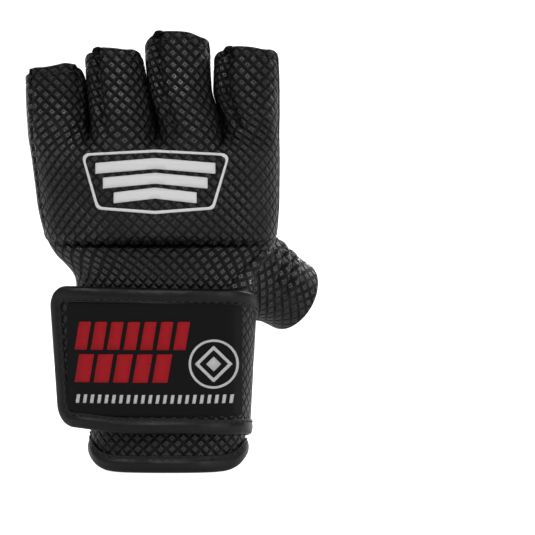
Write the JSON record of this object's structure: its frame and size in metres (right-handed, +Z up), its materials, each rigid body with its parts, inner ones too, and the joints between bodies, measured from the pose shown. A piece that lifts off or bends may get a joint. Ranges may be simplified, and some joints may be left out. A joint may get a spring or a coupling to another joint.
{
  "type": "mma glove",
  "caption": "Open-finger left-hand grappling glove: padded knuckles, four short finger stalls, thumb sleeve, open palm and a hook-and-loop wrist strap.",
  "frame": {"origin": "middle of the wrist opening, in the plane of the cuff's bottom edge", "axes": "+Z up the hand from the wrist to the fingertips, -Y the back of the hand, +Y the palm, +X the thumb side"},
  "size_m": [0.1359, 0.0791, 0.2031],
  "materials": {
    "embossed_leather": "embossed all over with small diamond pyramids, semi-gloss",
    "smooth_leather": "smooth grain, soft gloss",
    "foam": "closed-cell foam, matt",
    "knit_lining": "ribbed knit, matt, dark navy",
    "white_print": "flat white transfer print",
    "woven_label": "woven label with a red and white motif",
    "hook_tape": "stiff hook pile",
    "loop_pile": "brushed loop pile"
  },
  "bodies": {
    "hand": {"dorsal_shell": "embossed_leather", "knuckle_pad": "foam", "lower_back_panel": "embossed_leather", "lower_back_pad": "foam", "palm_panel": "embossed_leather", "hand_lining": "knit_lining", "palm_opening_binding": "smooth_leather", "grip_bar_binding": "smooth_leather", "wrist_slit_binding": "smooth_leather", "cuff_shell": "embossed_leather", "cuff_lining": "knit_lining", "cuff_hem_binding": "smooth_leather", "loop_patch": "loop_pile", "strap_wrap": "embossed_leather", "strap_wrap_top_binding": "smooth_leather", "strap_wrap_bottom_binding": "smooth_leather", "knuckle_print": "white_print"},
    "little_finger": {"little_finger_sleeve": "embossed_leather", "little_finger_pad": "foam", "little_finger_lining": "knit_lining", "little_finger_hem": "smooth_leather"},
    "ring_finger": {"ring_finger_sleeve": "embossed_leather", "ring_finger_pad": "foam", "ring_finger_lining": "knit_lining", "ring_finger_hem": "smooth_leather"},
    "middle_finger": {"middle_finger_sleeve": "embossed_leather", "middle_finger_pad": "foam", "middle_finger_lining": "knit_lining", "middle_finger_hem": "smooth_leather"},
    "index_finger": {"index_finger_sleeve": "embossed_leather", "index_finger_pad": "foam", "index_finger_lining": "knit_lining", "index_finger_hem": "smooth_leather"},
    "thumb": {"thumb_sleeve": "embossed_leather", "thumb_lining": "knit_lining", "thumb_hem": "smooth_leather"},
    "strap_flap": {"strap_flap": "embossed_leather", "strap_flap_binding": "smooth_leather", "label_patch": "woven_label", "hook_patch": "hook_tape"}
  },
  "joints": [
    {"name": "little_flex", "type": "hinge", "parent": "hand", "child": "little_finger", "pos_m": [-0.0525, -0.007, 0.1642], "axis": [-1, 0, 0], "range_deg": [0, 30], "stiffness_Nm_per_rad": 0.05},
    {"name": "ring_flex", "type": "hinge", "parent": "hand", "child": "ring_finger", "pos_m": [-0.025, -0.0105, 0.1651], "axis": [-1, 0, 0], "range_deg": [0, 30], "stiffness_Nm_per_rad": 0.05},
    {"name": "middle_flex", "type": "hinge", "parent": "hand", "child": "middle_finger", "pos_m": [0.0046, -0.0105, 0.1651], "axis": [-1, 0, 0], "range_deg": [0, 30], "stiffness_Nm_per_rad": 0.05},
    {"name": "index_flex", "type": "hinge", "parent": "hand", "child": "index_finger", "pos_m": [0.0367, -0.008, 0.1645], "axis": [-1, 0, 0], "range_deg": [0, 30], "stiffness_Nm_per_rad": 0.05},
    {"name": "thumb_fold", "type": "hinge", "parent": "hand", "child": "thumb", "pos_m": [0.024, 0.02, 0.09], "axis": [0, 0, 1], "range_deg": [0, 30], "stiffness_Nm_per_rad": 0.04},
    {"name": "strap_peel", "type": "hinge", "parent": "hand", "child": "strap_flap", "pos_m": [0.0365, -0.0184, 0.052], "axis": [0, 0, 1], "range_deg": [0, 130]}
  ]
}
